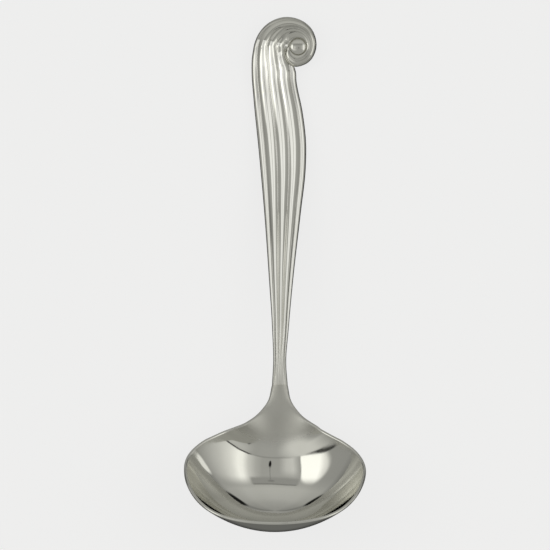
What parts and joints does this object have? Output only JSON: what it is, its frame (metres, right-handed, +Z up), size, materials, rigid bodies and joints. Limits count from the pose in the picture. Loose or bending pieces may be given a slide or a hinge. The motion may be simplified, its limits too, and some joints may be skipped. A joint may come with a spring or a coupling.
{
  "type": "sauce ladle",
  "caption": "Silver sauce ladle with a wide oval bowl, an arched neck and a fluted stem whose end curls sideways into a scroll.",
  "frame": {"origin": "middle of the bounding box, on the table the ladle rests on", "axes": "+Z up from the table, +Y from the bowl to the scroll, +X towards the side the scroll curls to; the ladle rests on its bowl and the underside of its stem"},
  "size_m": [0.064, 0.1938, 0.0351],
  "materials": {
    "silver": "mirror-polished sterling silver, lightly handled",
    "cast_silver": "polished cast sterling silver, faintly dull in the grooves",
    "silver_solder": "hard silver solder, filed flush and polished"
  },
  "bodies": {
    "root": {"bowl": "silver", "stem": "silver", "scroll": "cast_silver", "scroll_eye": "cast_silver", "heel_drop": "silver", "neck_solder": "silver_solder", "heel_solder": "silver_solder", "scroll_solder": "silver_solder", "eye_solder": "silver_solder"}
  },
  "joints": []
}
